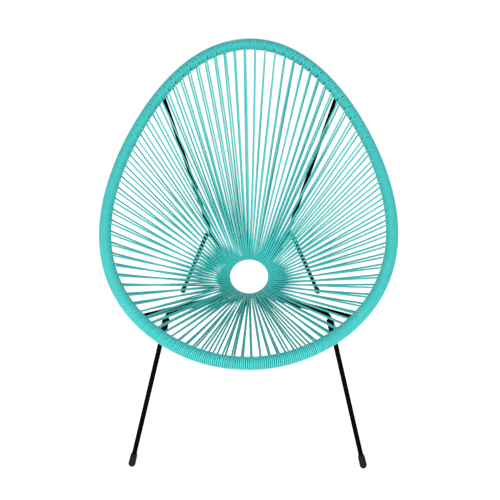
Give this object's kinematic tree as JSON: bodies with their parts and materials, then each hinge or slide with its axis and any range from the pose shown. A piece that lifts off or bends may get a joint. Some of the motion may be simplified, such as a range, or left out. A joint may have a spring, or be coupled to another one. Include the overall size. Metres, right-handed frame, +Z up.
{
  "type": "acapulco chair",
  "caption": "Low lounge chair whose bucket seat is plastic cord laced from an egg-shaped steel hoop to a small ring, on bent steel rod legs with foot caps.",
  "frame": {"origin": "on the floor under the middle of the chair", "axes": "+Z up; +Y from the front rim to the back, so the sitter faces -Y; +X to the right when seen from the front"},
  "size_m": [0.7174, 0.8913, 0.8764],
  "materials": {
    "cord": "smooth turquoise vinyl cord with a soft sheen",
    "frame": "black powder coat, satin",
    "foot_cap": "black moulded rubber, matt",
    "fastener": "blackened steel"
  },
  "bodies": {
    "root": {"rim_hoop": "frame", "centre_ring": "frame", "right_front_cord_1": "cord", "right_front_cord_2": "cord", "right_side_cord_1": "cord", "right_side_cord_2": "cord", "right_side_cord_3": "cord", "right_side_cord_4": "cord", "right_back_cord_1": "cord", "right_back_cord_2": "cord", "left_back_cord_2": "cord", "left_back_cord_1": "cord", "left_side_cord_4": "cord", "left_side_cord_3": "cord", "left_side_cord_2": "cord", "left_side_cord_1": "cord", "left_front_cord_2": "cord", "left_front_cord_1": "cord", "right_seat_rod": "frame", "right_leg_rod": "frame", "right_front_foot": "foot_cap", "right_rear_foot": "foot_cap", "right_front_washer": "fastener", "right_front_bolt": "fastener", "right_rear_washer": "fastener", "right_rear_bolt": "fastener", "left_seat_rod": "frame", "left_leg_rod": "frame", "left_front_foot": "foot_cap", "left_rear_foot": "foot_cap", "left_front_washer": "fastener", "left_front_bolt": "fastener", "left_rear_washer": "fastener", "left_rear_bolt": "fastener"}
  },
  "joints": []
}
